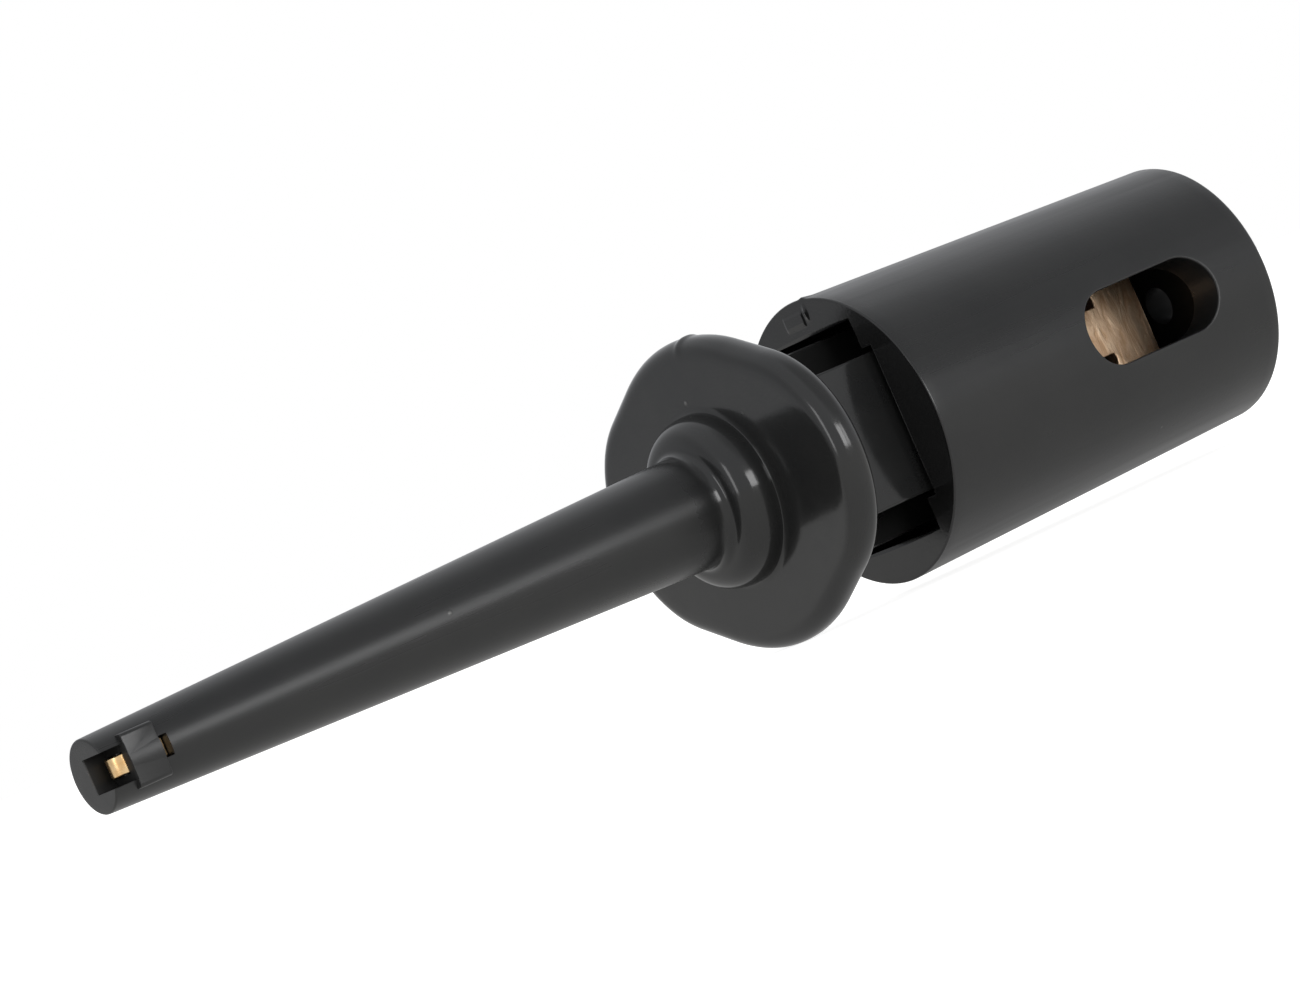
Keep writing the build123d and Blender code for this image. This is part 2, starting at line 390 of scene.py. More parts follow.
def ramp(tree, factor, low, high, low_tone, high_tone):
    """Tone that goes from low_tone where the factor is low to high_tone where it is high."""
    blend = add(tree, "ShaderNodeValToRGB", {"Fac": factor})
    blend.color_ramp.elements[0].position = low
    blend.color_ramp.elements[0].color = (*low_tone, 1)
    blend.color_ramp.elements[1].position = high
    blend.color_ramp.elements[1].color = (*high_tone, 1)
    return blend.outputs["Color"]


def black_moulding(name, low_tone, high_tone, front_roughness, rear_roughness, change_at, change_over,
                   grain, waves):
    """Moulded black plastic: clouded tone, flow lines along the axis, fine grain, slow waves and a little
    dust. Its roughness goes from the front's to the rear's over a short way at a station."""
    material = bpy.data.materials.new(name)
    material.use_nodes = True
    tree = material.node_tree
    shader = tree.nodes["Principled BSDF"]
    place = add(tree, "ShaderNodeTexCoord").outputs["Object"]
    cloud = add(tree, "ShaderNodeTexNoise", {"Vector": place, "Scale": 420, "Detail": 5, "Roughness": 0.6})
    tone = ramp(tree, cloud.outputs["Fac"], 0.3, 0.7, low_tone, high_tone)
    drawn = add(tree, "ShaderNodeMapping", {"Vector": place, "Scale": (60, 1500, 1500)}).outputs["Vector"]
    flow = add(tree, "ShaderNodeTexNoise", {"Vector": drawn, "Scale": 1, "Detail": 4, "Roughness": 0.55})
    # Specks of dust stay on the surface where a speck's point lies close to it
    dust = add(tree, "ShaderNodeTexVoronoi", {"Vector": place, "Scale": 760})
    near = add(tree, "ShaderNodeMapRange", {
        "Value": dust.outputs["Distance"], "From Min": 0.062, "From Max": 0.03,
    })
    picked = add(tree, "ShaderNodeMath", {0: dust.outputs["Color"], 1: 0.62}, operation="GREATER_THAN")
    speck = add(tree, "ShaderNodeMath", {0: near.outputs[0], 1: picked.outputs[0]}, operation="MULTIPLY")
    dusty = add(tree, "ShaderNodeMix", {
        "Factor": speck.outputs[0], 6: tone, 7: (0.11, 0.11, 0.105, 1),
    }, data_type="RGBA")
    tree.links.new(dusty.outputs[2], shader.inputs["Base Color"])
    split = add(tree, "ShaderNodeSeparateXYZ", {"Vector": place})
    change_x = tip_x + change_at * millimetre
    finish = add(tree, "ShaderNodeMapRange", {
        "Value": split.outputs["X"], "From Min": change_x, "From Max": change_x + change_over * millimetre,
        "To Min": front_roughness, "To Max": rear_roughness,
    })
    uneven = add(tree, "ShaderNodeMapRange", {
        "Value": flow.outputs["Fac"], "From Min": 0.3, "From Max": 0.7, "To Min": 0.82, "To Max": 1.2,
    })
    gloss = add(tree, "ShaderNodeMath", {0: finish.outputs[0], 1: uneven.outputs[0]}, operation="MULTIPLY")
    tree.links.new(gloss.outputs[0], shader.inputs["Roughness"])
    fine = add(tree, "ShaderNodeTexNoise", {"Vector": place, "Scale": 9000, "Detail": 3})
    slow = add(tree, "ShaderNodeTexNoise", {"Vector": place, "Scale": 260, "Detail": 2})
    grained = add(tree, "ShaderNodeBump", {
        "Height": fine.outputs["Fac"], "Strength": grain, "Distance": 4e-6,
    }).outputs["Normal"]
    waved = add(tree, "ShaderNodeBump", {
        "Height": slow.outputs["Fac"], "Strength": waves, "Distance": 3e-5, "Normal": grained,
    }).outputs["Normal"]
    specked = add(tree, "ShaderNodeBump", {
        "Height": speck.outputs[0], "Strength": 0.6, "Distance": 1e-5, "Normal": waved,
    })
    tree.links.new(specked.outputs["Normal"], shader.inputs["Normal"])
    shader.inputs["IOR"].default_value = 1.5
    return material


nose_plastic = black_moulding(
    "nose_plastic", low_tone=(0.0140, 0.0143, 0.0144), high_tone=(0.0185, 0.0185, 0.0180), front_roughness=0.3,
    rear_roughness=0.13, change_at=nose_length - 1.2, change_over=1.0, grain=0.25, waves=0.35,
)
# Painted shade: the walls inside the slot in the tip reflect far less than the rest of the plastic, so the slot
# reads dark, as if in shade
tree = nose_plastic.node_tree
place = add(tree, "ShaderNodeTexCoord").outputs["Object"]
split = add(tree, "ShaderNodeSeparateXYZ", {"Vector": place})
slot_reach = slot_half_width + 0.01
slot_floor = -way_low + 0.01
to_axis = add(tree, "ShaderNodeMath", {0: split.outputs["Z"], 1: axis_z}, operation="SUBTRACT")
off_axis = add(tree, "ShaderNodeMath", {0: to_axis.outputs[0]}, operation="ABSOLUTE")
in_height = add(tree, "ShaderNodeMath", {
    0: off_axis.outputs[0], 1: slot_reach * millimetre,
}, operation="LESS_THAN")
in_depth = add(tree, "ShaderNodeMath", {
    0: split.outputs["Y"], 1: slot_floor * millimetre,
}, operation="LESS_THAN")
from_face = add(tree, "ShaderNodeMapRange", {
    "Value": split.outputs["X"], "From Min": tip_x + 0.03 * millimetre, "From Max": tip_x + 0.06 * millimetre,
})
to_web = add(tree, "ShaderNodeMath", {
    0: split.outputs["X"], 1: tip_x + (slot_depth + 0.02) * millimetre,
}, operation="LESS_THAN")
slot_shade_mask = add(tree, "ShaderNodeMath", {0: in_height.outputs[0], 1: in_depth.outputs[0]}, operation="MULTIPLY")
slot_shade_mask = add(tree, "ShaderNodeMath", {0: slot_shade_mask.outputs[0], 1: from_face.outputs[0]}, operation="MULTIPLY")
slot_shade_mask = add(tree, "ShaderNodeMath", {0: slot_shade_mask.outputs[0], 1: to_web.outputs[0]}, operation="MULTIPLY")
# Painted shade: the reflection level falls from 0.5 to 0.1 inside the slot
level = add(tree, "ShaderNodeMapRange", {"Value": slot_shade_mask.outputs[0], "To Min": 0.5, "To Max": 0.1})
tree.links.new(level.outputs[0], tree.nodes["Principled BSDF"].inputs["Specular IOR Level"])
nose_moulding.data.materials.clear()
nose_moulding.data.materials.append(nose_plastic)
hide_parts("nose_body")
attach(nose_moulding, "nose")

# Hook
# A strip of springy metal, gold plated, bent back on itself over the web in the tip. Its stem runs through
# the nose to the terminal, and the end of its return leg shows in the slit behind the pad.
strip_edge = 0.05
stem_end = 33.95
strip_section = rounded_box(-strip_thickness / 2, strip_thickness / 2, strip_half_width, strip_edge, 5)


def carried(section, path, normals):
    """A flat section carried along a path in the clip's plane: its first measure goes along the path's
    normal and its second upwards. The ends are closed by a point."""
    out = section[None, :, :1] * normals[:, None, :]
    flat = path[:, None, :] + out
    height = np.broadcast_to(section[None, :, 1:], flat.shape[:2] + (1,))
    body = np.concatenate([flat, height], -1)
    ends = np.concatenate([path[[0, -1]], np.zeros((2, 1))], -1)[:, None, :]
    ends = np.broadcast_to(ends, (2,) + body.shape[1:])
    return np.concatenate([ends[:1], body, ends[1:]])


bend_radius = (hook_mouth + strip_thickness) / 2
bend_turn = np.radians(np.linspace(-90, -270, 33))
bend_normals = np.stack([np.cos(bend_turn), np.sin(bend_turn)], -1)
bend_path = np.array([bend_centre, bend_radius]) + bend_radius * bend_normals
stem_x = np.linspace(stem_end, bend_centre, 60)[:-1]
leg_x = np.linspace(bend_centre, leg_end, 10)[1:]
stem_path = np.stack([stem_x, 0 * stem_x], -1)
leg_path = np.stack([leg_x, 0 * leg_x + 2 * bend_radius], -1)
hook_path = np.concatenate([stem_path, bend_path, leg_path])
hook_normals = np.concatenate([0 * stem_path + (0.0, -1.0), bend_normals, 0 * leg_path + (0.0, 1.0)])
hook_points = in_frame(side_on(carried(strip_section, hook_path, hook_normals)))
hook_strip = closed_piece("hook_strip", [(hook_points, net(*hook_points.shape[:2]))])


def drawn_metal(name, low_tone, high_tone, low_roughness, high_roughness, stretch, depth, waver=0.0):
    """Rolled or drawn metal: tone and roughness follow fine lines that run the way the noise is stretched,
    and wander by waver."""
    material = bpy.data.materials.new(name)
    material.use_nodes = True
    tree = material.node_tree
    shader = tree.nodes["Principled BSDF"]
    place = add(tree, "ShaderNodeTexCoord").outputs["Object"]
    along = add(tree, "ShaderNodeMapping", {"Vector": place, "Scale": stretch}).outputs["Vector"]
    lines = add(tree, "ShaderNodeTexNoise", {
        "Vector": along, "Scale": 1, "Detail": 6, "Roughness": 0.62, "Distortion": waver,
    })
    stain = add(tree, "ShaderNodeTexNoise", {"Vector": place, "Scale": 1500, "Detail": 3})
    mixed = add(tree, "ShaderNodeMath", {
        0: stain.outputs["Fac"], 1: 0.35, 2: lines.outputs["Fac"],
    }, operation="MULTIPLY_ADD")
    tone = ramp(tree, mixed.outputs[0], 0.5, 0.85, low_tone, high_tone)
    tree.links.new(tone, shader.inputs["Base Color"])
    gloss = add(tree, "ShaderNodeMapRange", {
        "Value": lines.outputs["Fac"], "From Min": 0.3, "From Max": 0.7,
        "To Min": high_roughness, "To Max": low_roughness,
    })
    tree.links.new(gloss.outputs[0], shader.inputs["Roughness"])
    scored = add(tree, "ShaderNodeBump", {"Height": lines.outputs["Fac"], "Strength": 0.6, "Distance": depth})
    tree.links.new(scored.outputs["Normal"], shader.inputs["Normal"])
    shader.inputs["Metallic"].default_value = 1.0
    return material


gold = drawn_metal(
    "gold_plate", low_tone=(0.78, 0.47, 0.20), high_tone=(0.98, 0.72, 0.40), low_roughness=0.2,
    high_roughness=0.34, stretch=(900, 4000, 4000), depth=4e-6,
)
hook_strip.data.materials.append(gold)
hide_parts("hook")
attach(hook_strip, "plunger")

# Barrel
# The push barrel, a hollow moulding in satin black plastic. Its front has a cross-shaped opening between
# two D-shaped lips, its side the solder window, its end wall the hole for the lead. Two grooves in its
# narrower rear bore hold the terminal.
barrel_low, barrel_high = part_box("barrel")
barrel_front = (barrel_low.x - tip_x) / millimetre
barrel_rear = (barrel_high.x - tip_x) / millimetre
front_radius = 4.53
rear_radius = 4.15
barrel_wall = 0.62
rear_bore_radius = 2.95
rear_bore_front = 35.6
front_wall = 1.0
end_wall = 1.15
front_edge = 0.06
rear_edge = 0.16
lip_edge = 0.03
opening_half_depth = 2.83
opening_half_height = 2.41
opening_corner = 0.04
notch_half_width = 2.35
notch_half_height = 3.37
window_length = 5.4
window_half_width = 1.18
window_to_rear = 2.2
window_edge = 0.07
window_margin = 0.6
lead_hole_radius = 0.6
groove_half_width = 0.28
groove_half_span = 3.28
terminal_rear = 39.81
groove_rear = terminal_rear + 0.03

cavity_front = barrel_front + front_wall
cavity_rear = barrel_rear - end_wall
window_rear = barrel_rear - window_to_rear
window_front = window_rear - window_length


def barrel_radius(station):
    """Outer radius of the tapered barrel at a station: a straight line between the two ends' radii."""
    share = (station - barrel_front) / (barrel_rear - barrel_front)
    return front_radius + (rear_radius - front_radius) * share


def bore_radius(station):
    """Radius of the cavity at a station: the outer cone less the wall, or the rear bore behind the step."""
    return np.where(station < rear_bore_front, barrel_radius(station) - barrel_wall, rear_bore_radius)


lip_corners = [
    math.atan2(opening_half_height, opening_half_depth),
    math.atan2(opening_half_height, notch_half_width),
    math.atan2(notch_half_height, notch_half_width),
    math.atan2(groove_half_span, groove_half_width),
]
window_turn = math.radians(30)
barrel_angles = angles_round(lip_corners, math.radians(0.8), 5, 360)
scar_angles = np.radians(np.arange(76, 102, 0.35))
barrel_angles = np.unique(np.round(np.concatenate([barrel_angles, scar_angles]), 6))
barrel_angles = barrel_angles[np.diff(barrel_angles, append=2 * math.pi) > 1e-4]
first_turn = int(np.argmin(np.abs(barrel_angles - (math.pi - window_turn))))
last_turn = int(np.argmin(np.abs(barrel_angles - (math.pi + window_turn))))


def barrel_rings(stations, reaches):
    """Rings about the axis with the barrel's own angles."""
    return np.stack(np.broadcast_arrays(stations, reaches, barrel_angles[None, :])[:2], -1)


opening = np.maximum(
    box_reach(barrel_angles, opening_half_depth, opening_half_height, opening_corner),
    box_reach(barrel_angles, notch_half_width, notch_half_height, opening_corner),
)
groove = box_reach(barrel_angles, groove_half_width, groove_half_span, opening_corner)
shoulder_gap = 0.002
shoulders = [
    rear_bore_front - shoulder_gap, rear_bore_front + shoulder_gap,
    groove_rear - shoulder_gap, groove_rear + shoulder_gap,
]
window_x = np.linspace(window_front - window_margin, window_rear + window_margin, 42)
window_x = np.sort(np.concatenate([window_x, shoulders]))
front_rows = 12
outer_x = np.concatenate([
    np.linspace(barrel_front + front_edge, window_x[0], front_rows + 2)[1:-1], window_x,
    np.linspace(window_x[-1], barrel_rear - rear_edge, 5)[1:],
])
rear_rows = 2
inner_x = np.concatenate([
    np.linspace(cavity_rear, window_x[-1], rear_rows + 2)[1:-1], window_x[::-1],
    np.linspace(window_x[0], cavity_front, 8)[1:],
])

# A gate scar on the upper lip's face: a low rectangle with a small raised nib beside it, and flash on the rim
lip_inner = barrel_rings(barrel_front, opening + lip_edge)
lip_outer = barrel_rings(barrel_front, front_radius - front_edge)
lip_face = between(lip_inner, lip_outer, 26)
lip_y = lip_face[..., 1] * np.cos(barrel_angles)
lip_z = lip_face[..., 1] * np.sin(barrel_angles)


def pad_height(y, z, centre_y, centre_z, half_y, half_z, soft):
    """A low flat with soft sides: the product of two steps across it and two steps along it."""
    across = 1 / (1 + np.exp((np.abs(y - centre_y) - half_y) / soft))
    along = 1 / (1 + np.exp((np.abs(z - centre_z) - half_z) / soft))
    return across * along


scar_height = 0.035
nib_height = 0.05
flash_height = 0.05
flash_angle = math.radians(97)
flash_spread = 0.03
scar = scar_height * pad_height(lip_y, lip_z, 0.18, 3.95, 0.5, 0.2, 0.012)
nib = nib_height * np.exp(-(((lip_y + 0.52) / 0.075) ** 2) - ((lip_z - 4.08) / 0.17) ** 2)
lip_face[..., 0] -= scar + nib
flash = flash_height * np.exp(-(((barrel_angles - flash_angle) / flash_spread) ** 2))
front_round = barrel_rings(
    barrel_front + front_edge * (1 - np.cos(column(quarter))),
    front_radius - front_edge * (1 - np.sin(column(quarter))) + flash * column(np.sin(quarter)),
)
first_cone = barrel_rings(column(outer_x), barrel_radius(column(outer_x)))
first_cone[..., 1] += flash * np.exp(-(first_cone[..., 0] - barrel_front - front_edge) / 0.25)
lip_back = barrel_rings(cavity_front, opening)
lip_start = np.concatenate([lip_back, between(lip_back, barrel_rings(barrel_front + lip_edge, opening), 3)])
in_groove = (column(inner_x) > rear_bore_front) & (column(inner_x) < groove_rear)
cavity_reach = np.maximum(bore_radius(column(inner_x)), np.where(in_groove, groove[None, :], 0))
rear_face = barrel_rings(barrel_rear, rear_radius - rear_edge)
hole_front = barrel_rings(cavity_rear, lead_hole_radius)
hole_edge = 0.05
pieces_of_skin = [
    lip_start,
    lip_face,
    front_round,
    first_cone,
    barrel_rings(
        barrel_rear - rear_edge * (1 - np.sin(column(quarter))),
        rear_radius - rear_edge * (1 - np.cos(column(quarter))),
    ),
    between(rear_face, barrel_rings(barrel_rear, lead_hole_radius + hole_edge), 5),
    barrel_rings(barrel_rear - hole_edge, lead_hole_radius),
    hole_front,
    between(hole_front, barrel_rings(cavity_rear, rear_bore_radius), 4),
    barrel_rings(column(inner_x), cavity_reach),
]
barrel_skin = np.concatenate(pieces_of_skin)
ring_starts = np.cumsum([0] + [len(rows) for rows in pieces_of_skin])
outer_start = ring_starts[3] + front_rows
inner_start = ring_starts[9] + rear_rows
row_count, turn_count = barrel_skin.shape[:2]
barrel_net = net(row_count, turn_count, round_rows=True).reshape(row_count, turn_count, 4)
kept = np.ones((row_count, turn_count), bool)
window_rows = len(window_x) - 1
for start in (outer_start, inner_start):
    kept[start:start + window_rows, first_turn:last_turn] = False
barrel_points = turned(barrel_skin, barrel_angles)

# Lining of the window: its border in the barrel's net, drawn in step by step to the window's outline, round
# its outer edge, straight through the wall and out to the border in the net of the bore
border_x = np.concatenate([
    np.full(last_turn - first_turn, window_x[0]), window_x[:-1],
    np.full(last_turn - first_turn, window_x[-1]), window_x[:0:-1],
])
side_turns = barrel_angles[first_turn:last_turn + 1]
border_turn = np.concatenate([
    side_turns[:-1], np.full(window_rows, side_turns[-1]),
    side_turns[:0:-1], np.full(window_rows, side_turns[0]),
])
window_middle = (window_front + window_rear) / 2
middle_radius = float(barrel_radius(window_middle))
half_border = window_x[-1] - window_middle
half_rise = window_turn * middle_radius
along = border_x - window_middle
rise = (math.pi - border_turn) * middle_radius
on_long_side = np.abs(np.abs(rise) - half_rise) < 1e-4
half_way = half_border + half_rise
walked = np.where(on_long_side, np.abs(along), half_way - np.abs(rise)) / half_way


def window_outline(grown):
    """Points of the window's slot, grown by a width: half of the straight side, then a quarter of the round
    end, shared out by the length walked along the border."""
    straight = window_length / 2 - window_half_width
    way = walked * (straight + window_half_width * math.pi / 2)
    turn = np.maximum(way - straight, 0) / window_half_width
    size = window_half_width + grown
    x = np.minimum(way, straight) + size * np.sin(turn)
    return window_middle + np.sign(along) * x, np.sign(rise) * size * np.cos(turn)


def on_wall(station, height, depth):
    """Points of the barrel's front at that station and height, sunk by a depth from the outer skin."""
    return np.stack([station, depth - np.sqrt(barrel_radius(station) ** 2 - height**2), height], -1)


def border_to_outline(skin_radius, grown, steps):
    """Rings of points from the border to the outline on the outer or inner skin: station and turn each go
    evenly from one to the other, at the skin's radius there."""
    station, height = window_outline(grown)
    turn = math.pi - np.arcsin(height / skin_radius(station))
    share = column(np.arange(steps + 1) / steps)
    x = border_x + (station - border_x) * share
    angle = border_turn + (turn - border_turn) * share
    radius = skin_radius(x)
    return np.stack([x, radius * np.cos(angle), radius * np.sin(angle)], -1)


rim = []
for turn in quarter:
    station, height = window_outline(window_edge * (1 - math.sin(turn)))
    rim.append(on_wall(station, height, window_edge * (1 - math.cos(turn))))
rim = np.array(rim)
inner_lining = border_to_outline(bore_radius, 0.0, 6)[::-1]
through = rim[-1:] + (inner_lining[:1] - rim[-1:]) * column(np.array([0.33, 0.67]))[..., None]
lining = np.concatenate([border_to_outline(barrel_radius, window_edge, 9), rim, through, inner_lining])

barrel_moulding = closed_piece("barrel_moulding", [
    (in_frame(barrel_points), barrel_net[kept]),
    (in_frame(lining), net(*lining.shape[:2])),
])

barrel_plastic = black_moulding(
    "barrel_plastic", low_tone=(0.0120, 0.0122, 0.0123), high_tone=(0.0160, 0.0160, 0.0157), front_roughness=0.14,
    rear_roughness=0.32, change_at=barrel_front + 0.01, change_over=0.08, grain=0.5, waves=0.3,
)
# Painted shade: the inside of the end wall and the lead hole reflect far less than the rest of the plastic, so
# they read dark, as if in shade
tree = barrel_plastic.node_tree
shader = tree.nodes["Principled BSDF"]
place = add(tree, "ShaderNodeTexCoord").outputs["Object"]
split = add(tree, "ShaderNodeSeparateXYZ", {"Vector": place})
off_axis = add(tree, "ShaderNodeVectorMath", {0: place, 1: (0, 0, axis_z)}, operation="SUBTRACT").outputs[0]
across = add(tree, "ShaderNodeVectorMath", {0: off_axis, 1: (0, 1, 1)}, operation="MULTIPLY").outputs[0]
reach = add(tree, "ShaderNodeVectorMath", {0: across}, operation="LENGTH")
inward = add(tree, "ShaderNodeMapRange", {
    "Value": reach.outputs["Value"], "From Min": (rear_bore_radius - 0.03) * millimetre,
    "From Max": (rear_bore_radius - 0.1) * millimetre,
})
behind = add(tree, "ShaderNodeMapRange", {
    "Value": split.outputs["X"], "From Min": tip_x + (cavity_rear - 0.3) * millimetre,
    "From Max": tip_x + (cavity_rear - 0.2) * millimetre,
})
before = add(tree, "ShaderNodeMapRange", {
    "Value": split.outputs["X"], "From Min": tip_x + (barrel_rear - 0.05) * millimetre,
    "From Max": tip_x + (barrel_rear - 0.15) * millimetre,
})
inner_painted_shade = add(tree, "ShaderNodeMath", {0: inward.outputs[0], 1: behind.outputs[0]}, operation="MULTIPLY")
inner_painted_shade = add(tree, "ShaderNodeMath", {0: inner_painted_shade.outputs[0], 1: before.outputs[0]}, operation="MULTIPLY")
# Painted shade: the reflection level falls from 0.5 to 0.04 on the inside of the end wall and in the lead hole
level = add(tree, "ShaderNodeMapRange", {"Value": inner_painted_shade.outputs[0], "To Min": 0.5, "To Max": 0.04})
tree.links.new(level.outputs[0], shader.inputs["Specular IOR Level"])
barrel_moulding.data.materials.append(barrel_plastic)
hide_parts("barrel")
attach(barrel_moulding, "plunger")

# Solder terminal
# Stamped from copper-alloy sheet: a broad tab that shows in the window, a neck, two ears that the spring
# pushes on, and a crimp that grips the stem of the hook. It is pushed into the barrel's grooves from the
# front.
terminal_front = terminal_rear - 2.06
tab_half_width = 3.25
tab_corner = 0.12
sheet_half = 0.25
sheet_edge = 0.045
relief_radius = 0.35
relief_height = 0.95
neck_half_width = 0.775
ear_half_width = 1.45
ear_length = 0.6
ear_rear = terminal_front - 1.6
ear_front = ear_rear - ear_length
crimp_rear = ear_front - 1.3
crimp_length = 1.9
crimp_radius = 0.65
neck_in_crimp = 0.3

relief_turn = math.degrees(math.asin((relief_height - neck_half_width) / relief_radius))
upper_half = np.concatenate([
    arc((terminal_rear - tab_corner, tab_half_width - tab_corner), tab_corner, 0, 90, 5),
    arc((terminal_front + tab_corner, tab_half_width - tab_corner), tab_corner, 90, 180, 5),
    arc((terminal_front, relief_height), relief_radius, 90, -relief_turn, 17),
    [(ear_rear, neck_half_width), (ear_rear, ear_half_width)],
    [(ear_front, ear_half_width), (ear_front, neck_half_width)],
    [(crimp_rear - neck_in_crimp, neck_half_width)],
])
terminal_outline = np.concatenate([upper_half, upper_half[::-1] * (1, -1)])
tab_points, tab_faces = plate(terminal_outline, -sheet_half, sheet_half, sheet_edge, 4)
tab_points = np.stack([tab_points[..., 0], -tab_points[..., 2], tab_points[..., 1]], -1)

crimp_sides = 48
crimp_end_share = 0.94
crimp_dent = 0.3
dent_spread = 0.42
crimp_turn = np.linspace(0, 2 * math.pi, crimp_sides, endpoint=False)
crimp_x = np.linspace(crimp_rear - crimp_length, crimp_rear, 22)
dent = np.exp(-(((column(crimp_x) - crimp_x.mean()) / dent_spread) ** 2)) * np.abs(np.cos(crimp_turn)) ** 3
crimp_reach = crimp_radius * (1 - crimp_dent * dent)
crimp_reach[[0, -1]] *= crimp_end_share
crimp_reach = np.pad(crimp_reach, ((1, 1), (0, 0)))
crimp_stations = np.concatenate([crimp_x[:1], crimp_x, crimp_x[-1:]])
crimp_points = np.stack([
    np.broadcast_to(column(crimp_stations), crimp_reach.shape),
    crimp_reach * np.cos(crimp_turn), crimp_reach * np.sin(crimp_turn),
], -1)
terminal_stamping = closed_piece("terminal_stamping", [
    (in_frame(tab_points), tab_faces), (in_frame(crimp_points), net(*crimp_points.shape[:2])),
])
copper_alloy = drawn_metal(
    "copper_alloy", low_tone=(0.62, 0.40, 0.24), high_tone=(0.93, 0.71, 0.50), low_roughness=0.42,
    high_roughness=0.6, stretch=(2600, 2600, 700), depth=3.4e-5, waver=1.4,
)
terminal_stamping.data.materials.append(copper_alloy)
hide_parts("solder_terminal")
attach(terminal_stamping, "plunger")

# Spring
# A compression spring of steel wire round the stem, in the pocket of the shank. Its end coils are closed and
# ground flat, and its seven open coils are drawn at rest and do not close up here as the barrel is pushed
# forward.
spring_radius = 1.35
wire_radius = 0.15
closed_pitch = 0.31
ground_depth = 0.08
open_turns = 7

first_coil = pocket_bottom + ground_depth
last_coil = ear_front - ground_depth - closed_pitch
open_pitch = (last_coil - first_coil - closed_pitch) / open_turns
turns = np.linspace(0, open_turns + 2, 40 * (open_turns + 2) + 1)
coil_x = (
    first_coil
    + closed_pitch * np.minimum(turns, 1)
    + open_pitch * np.clip(turns - 1, 0, open_turns)
    + closed_pitch * np.maximum(turns - open_turns - 1, 0)
)
coil_turn = 2 * math.pi * turns
outward = np.stack([0 * turns, np.cos(coil_turn), np.sin(coil_turn)], -1)
sideways = np.broadcast_to([1.0, 0.0, 0.0], outward.shape)
coil_middle = np.stack([coil_x, 0 * turns, 0 * turns], -1) + spring_radius * outward
wire_turn = np.linspace(0, 2 * math.pi, 16, endpoint=False)[None, :, None]
wire_round = np.cos(wire_turn) * outward[:, None] + np.sin(wire_turn) * sideways[:, None]
wire = coil_middle[:, None] + wire_radius * wire_round
wire_ends = np.broadcast_to(coil_middle[[0, -1], None], (2,) + wire.shape[1:])
wire = np.concatenate([wire_ends[:1], wire, wire_ends[1:]])
wire[..., 0] = np.clip(wire[..., 0], pocket_bottom, ear_front)
spring_points = in_frame(wire)
spring_coils = closed_piece("spring_coils", [(spring_points, net(*spring_points.shape[:2]))], crease=60)
spring_steel = drawn_metal(
    "spring_steel", low_tone=(0.34, 0.34, 0.33), high_tone=(0.6, 0.6, 0.58), low_roughness=0.22,
    high_roughness=0.38, stretch=(3500, 3500, 3500), depth=3e-6,
)
spring_coils.data.materials.append(spring_steel)
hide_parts("spring")
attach(spring_coils, "nose")
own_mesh(spring_coils)

# Table and surroundings
# The clip lies on a plain white table in a bright room. The table stays white to the camera, and a soft
# shadow shows where the clip rests.
table_half = 1.5
table_mesh = bpy.data.meshes.new("table")
table_corners = table_half * np.array([(-1, -1, 0), (1, -1, 0), (1, 1, 0), (-1, 1, 0)])
table_mesh.from_pydata(table_corners, [], [(0, 1, 2, 3)])
table = bpy.data.objects.new("table", table_mesh)
bpy.context.scene.collection.objects.link(table)
table_white = bpy.data.materials.new("table_white")
table_white.use_nodes = True
tree = table_white.node_tree
shader = tree.nodes["Principled BSDF"]
shader.inputs["Roughness"].default_value = 0.9
shader.inputs["Specular IOR Level"].default_value = 0.0
rays = add(tree, "ShaderNodeLightPath")
mirrored = add(tree, "ShaderNodeMath", {
    0: rays.outputs["Is Glossy Ray"], 1: rays.outputs["Is Transmission Ray"],
}, operation="MAXIMUM")
colour = add(tree, "ShaderNodeMix", {
    "Factor": mirrored.outputs[0], 6: (0.8, 0.79, 0.76, 1), 7: (0.24, 0.235, 0.22, 1),
}, data_type="RGBA")
tree.links.new(colour.outputs[2], shader.inputs["Base Color"])
faint = add(tree, "ShaderNodeMath", {0: mirrored.outputs[0], 1: 0.55}, operation="MULTIPLY")
strength = add(tree, "ShaderNodeMath", {
    0: rays.outputs["Is Camera Ray"], 1: 0.84, 2: faint.outputs[0],
}, operation="MULTIPLY_ADD")
glow = add(tree, "ShaderNodeEmission", {"Color": (1, 1, 1, 1), "Strength": strength.outputs[0]})
shown = add(tree, "ShaderNodeAddShader", {0: glow.outputs[0], 1: shader.outputs[0]})
tree.links.new(shown.outputs[0], tree.nodes["Material Output"].inputs["Surface"])
table_mesh.materials.append(table_white)

# The room is a little dimmer above the rear end of the clip and behind its tip
world = bpy.data.worlds.new("room")
bpy.context.scene.world = world
world.use_nodes = True
tree = world.node_tree
rays = add(tree, "ShaderNodeLightPath")
direction = add(tree, "ShaderNodeTexCoord").outputs["Generated"]
dim_side = Vector((0.50, -0.46, 0.73)).normalized()
rear_side = Vector((-0.6, 0.8, 0.0))
facing = add(tree, "ShaderNodeVectorMath", {0: direction, 1: dim_side}, operation="DOT_PRODUCT")
level = add(tree, "ShaderNodeMapRange", {
    "Value": facing.outputs["Value"], "From Min": 0.72, "From Max": 0.96, "To Min": 0.78, "To Max": 0.46,
}, interpolation_type="SMOOTHSTEP")
behind = add(tree, "ShaderNodeVectorMath", {0: direction, 1: rear_side}, operation="DOT_PRODUCT")
shade = add(tree, "ShaderNodeMapRange", {
    "Value": behind.outputs["Value"], "From Min": 0.5, "From Max": 0.9, "To Min": 1.0, "To Max": 0.72,
}, interpolation_type="SMOOTHSTEP")
level = add(tree, "ShaderNodeMath", {0: level.outputs[0], 1: shade.outputs[0]}, operation="MULTIPLY")
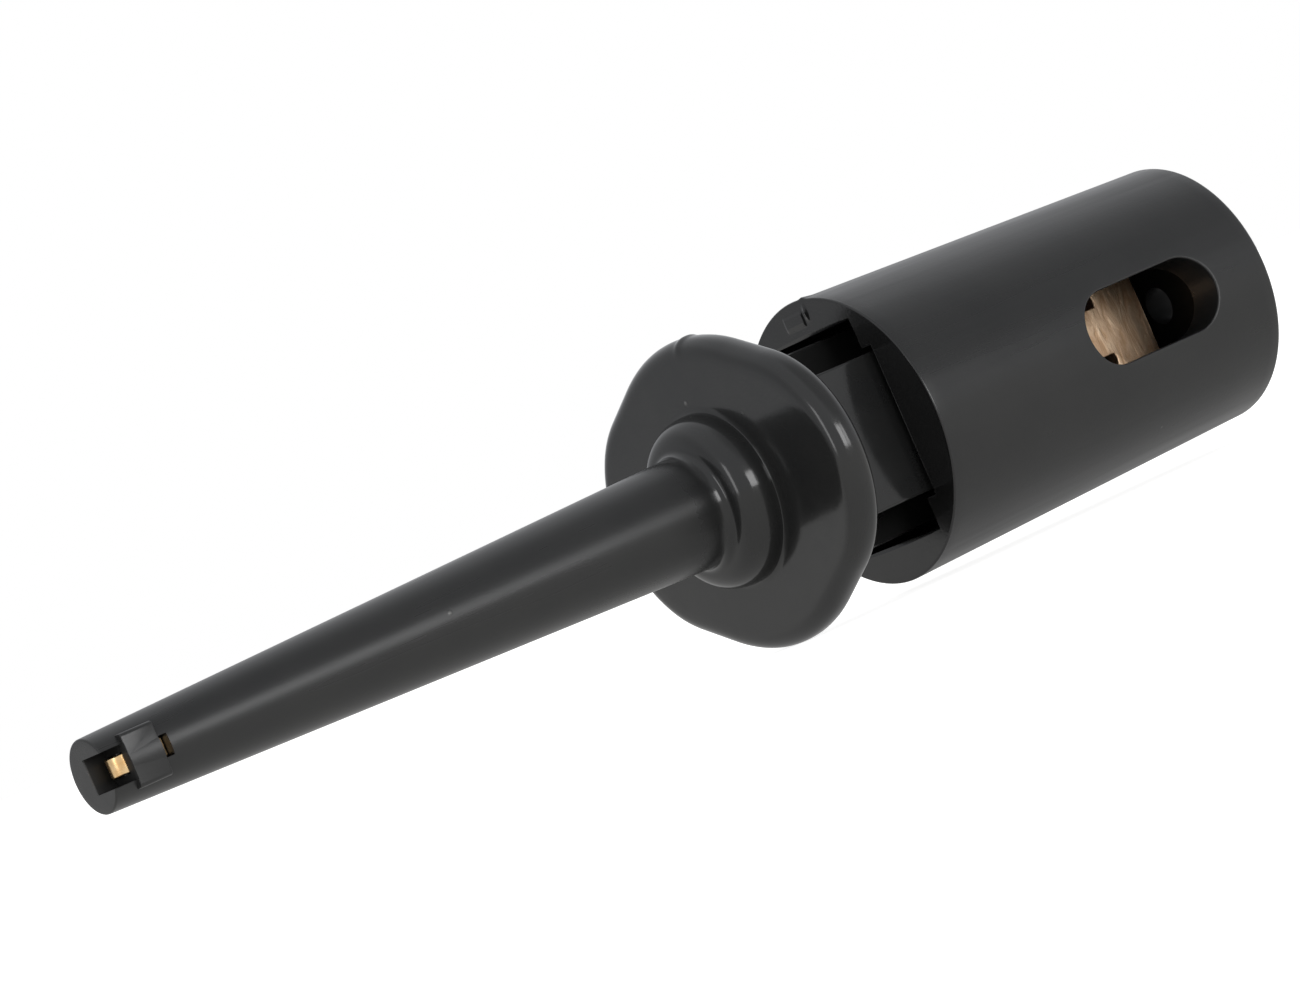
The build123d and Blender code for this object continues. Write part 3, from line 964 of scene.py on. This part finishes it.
mirrored = add(tree, "ShaderNodeMath", {
    0: rays.outputs["Is Glossy Ray"], 1: rays.outputs["Is Transmission Ray"],
}, operation="MAXIMUM")
not_mirrored = add(tree, "ShaderNodeMapRange", {
    "Value": rays.outputs["Is Camera Ray"], "To Min": 0.62, "To Max": 1.0,
})
strength = add(tree, "ShaderNodeMix", {
    0: mirrored.outputs[0], 2: not_mirrored.outputs[0], 3: level.outputs[0],
})
tree.links.new(strength.outputs[0], tree.nodes["Background"].inputs["Strength"])
tint = add(tree, "ShaderNodeMix", {
    "Factor": rays.outputs["Is Camera Ray"], 6: (0.97, 0.985, 1.015, 1), 7: (1, 1, 1, 1),
}, data_type="RGBA")
tree.links.new(tint.outputs[2], tree.nodes["Background"].inputs["Color"])


def soft_lamp(name, towards, distance, width, height, power):
    """A rectangular lamp that stands off the clip in a direction and faces it."""
    lamp = bpy.data.lights.new(name, "AREA")
    lamp.shape = "RECTANGLE"
    lamp.size = width
    lamp.size_y = height
    lamp.energy = power
    stand = bpy.data.objects.new(name, lamp)
    away = Vector(towards).normalized()
    place = Matrix.Translation(Vector((0, 0, axis_z)) + away * distance)
    stand.matrix_world = place @ away.to_track_quat("Z", "Y").to_matrix().to_4x4()
    bpy.context.scene.collection.objects.link(stand)
    return stand


soft_lamp("right_window", towards=(0.36, -0.93, 0.02), distance=0.5, width=0.12, height=0.28, power=0.42)
soft_lamp("left_window", towards=(-0.97, -0.16, 0.2), distance=0.5, width=0.10, height=0.22, power=0.2)
soft_lamp("front_card", towards=(0.0, -1, 0.02), distance=0.5, width=0.22, height=0.30, power=1.15)
ceiling = soft_lamp("ceiling", towards=(-0.2, 0.5, 0.85), distance=0.7, width=0.5, height=0.5, power=0.9)
ceiling.visible_glossy = False

# Camera
# A long lens in front of the clip and towards its tip, level with its axis and turned about its own line
# of sight.
camera_data = bpy.data.cameras.new("camera")
camera_data.sensor_width = 36
camera_data.sensor_fit = "HORIZONTAL"
camera_data.lens = 152.3077
camera_data.clip_start = 0.01
camera_data.clip_end = 20
camera = bpy.data.objects.new("camera", camera_data)
camera_place = Vector((tip_x - 0.0685788, -0.1333654, axis_z + 0.0008599))
sight = Vector((0.554559, 0.832144, 0.00027)).normalized()
camera_up = Vector((0.333669, -0.222662, 0.916017))
camera_right = sight.cross(camera_up).normalized()
camera_up = camera_right.cross(sight)
turn = Matrix((camera_right, camera_up, -sight)).transposed()
camera.matrix_world = Matrix.Translation(camera_place) @ turn.to_4x4()
bpy.context.scene.collection.objects.link(camera)
bpy.context.scene.camera = camera
bpy.context.scene.view_settings.view_transform = "Standard"
